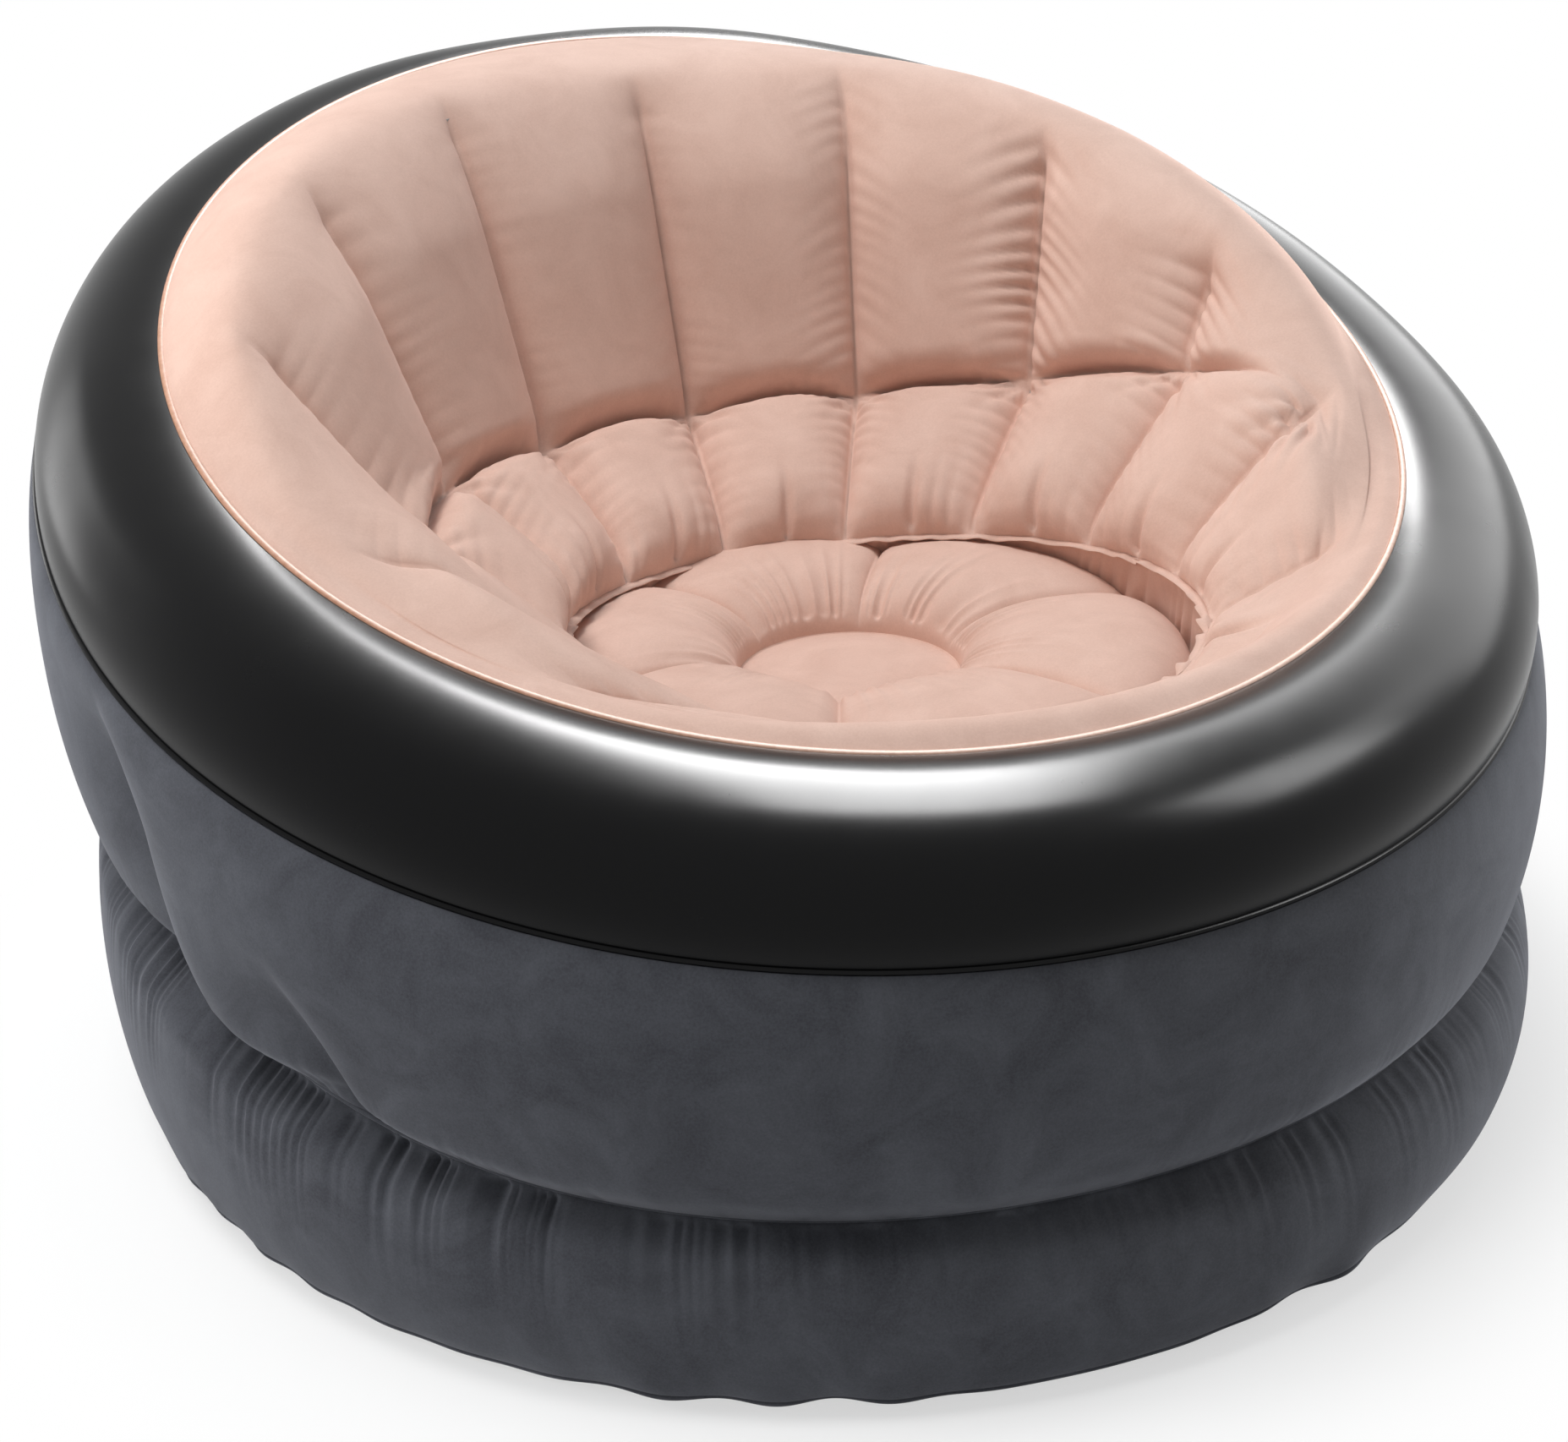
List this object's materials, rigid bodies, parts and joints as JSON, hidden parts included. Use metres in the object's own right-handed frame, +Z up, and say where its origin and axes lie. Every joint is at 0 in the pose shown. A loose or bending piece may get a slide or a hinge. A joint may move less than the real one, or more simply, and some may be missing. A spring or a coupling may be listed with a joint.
{
  "type": "inflatable_chair",
  "caption": "Round inflatable tub chair with a quilted flocked bowl, a glossy black band, a charcoal flocked base and a two-way air valve at the back.",
  "frame": {"origin": "under the middle of the outline, on the floor", "axes": "+Z up, -Y to the front of the chair, +X to the right when looking along +Y"},
  "size_m": [1.11, 1.1118, 0.697],
  "materials": {
    "flocked_vinyl_charcoal": "matt flocked vinyl",
    "glossy_vinyl_black": "glossy soft vinyl",
    "flocked_vinyl_blush": "matt flocked vinyl",
    "welded_edge_tan": "welded vinyl edge",
    "clear_grey_vinyl": "plain vinyl sheet",
    "moulded_vinyl_grey": "moulded soft vinyl",
    "soft_silicone": "soft silicone"
  },
  "bodies": {
    "chair_body": {"back_web_01": "clear_grey_vinyl", "back_web_02": "clear_grey_vinyl", "back_web_03": "clear_grey_vinyl", "back_web_04": "clear_grey_vinyl", "back_web_05": "clear_grey_vinyl", "back_web_06": "clear_grey_vinyl", "back_web_07": "clear_grey_vinyl", "back_web_08": "clear_grey_vinyl", "back_web_09": "clear_grey_vinyl", "band_weld": "glossy_vinyl_black", "base_side_wall": "flocked_vinyl_charcoal", "bottom_panel": "flocked_vinyl_charcoal", "floor_weld": "flocked_vinyl_charcoal", "glossy_band": "glossy_vinyl_black", "liner_backing_sheet": "clear_grey_vinyl", "liner_foot_weld": "welded_edge_tan", "lumbar_tie_1": "clear_grey_vinyl", "lumbar_tie_2": "clear_grey_vinyl", "lumbar_tie_3": "clear_grey_vinyl", "lumbar_tie_4": "clear_grey_vinyl", "lumbar_tie_5": "clear_grey_vinyl", "lumbar_tie_6": "clear_grey_vinyl", "outer_wall": "flocked_vinyl_charcoal", "quilted_liner": "flocked_vinyl_blush", "rim_weld": "welded_edge_tan", "seat_centre_panel": "flocked_vinyl_blush", "seat_disc_weld": "flocked_vinyl_blush", "seat_ring_panel": "flocked_vinyl_blush", "seat_skirt_wall": "flocked_vinyl_blush", "seat_tie_tube": "clear_grey_vinyl", "seat_web_1": "clear_grey_vinyl", "seat_web_2": "clear_grey_vinyl", "seat_web_3": "clear_grey_vinyl", "seat_web_4": "clear_grey_vinyl", "seat_web_5": "clear_grey_vinyl", "seat_web_6": "clear_grey_vinyl", "skirt_foot_weld": "flocked_vinyl_blush", "valve_base": "moulded_vinyl_grey", "waist_tie_sheet": "clear_grey_vinyl", "waist_weld": "flocked_vinyl_charcoal"},
    "valve_carrier": {"valve_gasket": "soft_silicone"},
    "valve_insert_body": {"valve_insert": "moulded_vinyl_grey"},
    "check_flap_body": {"check_flap": "soft_silicone"},
    "valve_plug_body": {"valve_plug": "moulded_vinyl_grey"}
  },
  "joints": [
    {"name": "insert_lift", "type": "slide", "parent": "chair_body", "child": "valve_carrier", "axis": [0.2636, 0.9539, -0.1437], "range_m": [0, 0.0045]},
    {"name": "insert_turn", "type": "hinge", "parent": "valve_carrier", "child": "valve_insert_body", "pos_m": [0.15206, 0.5245, 0.42735], "axis": [0.2636, 0.9539, -0.1437], "range_deg": [0, 540]},
    {"name": "plug_flip", "type": "hinge", "parent": "valve_insert_body", "child": "valve_plug_body", "pos_m": [0.15481, 0.53443, 0.44889], "axis": [0.9639, -0.2664, 0], "range_deg": [0, 150]},
    {"name": "flap_swing", "type": "hinge", "parent": "valve_insert_body", "child": "check_flap_body", "pos_m": [0.14955, 0.5154, 0.44236], "axis": [-0.9639, 0.2664, 0], "range_deg": [0, 60]}
  ],
  "couplings": [
    {"joint": "insert_turn", "follows": "insert_lift", "rad_per_m": 2094.4}
  ]
}
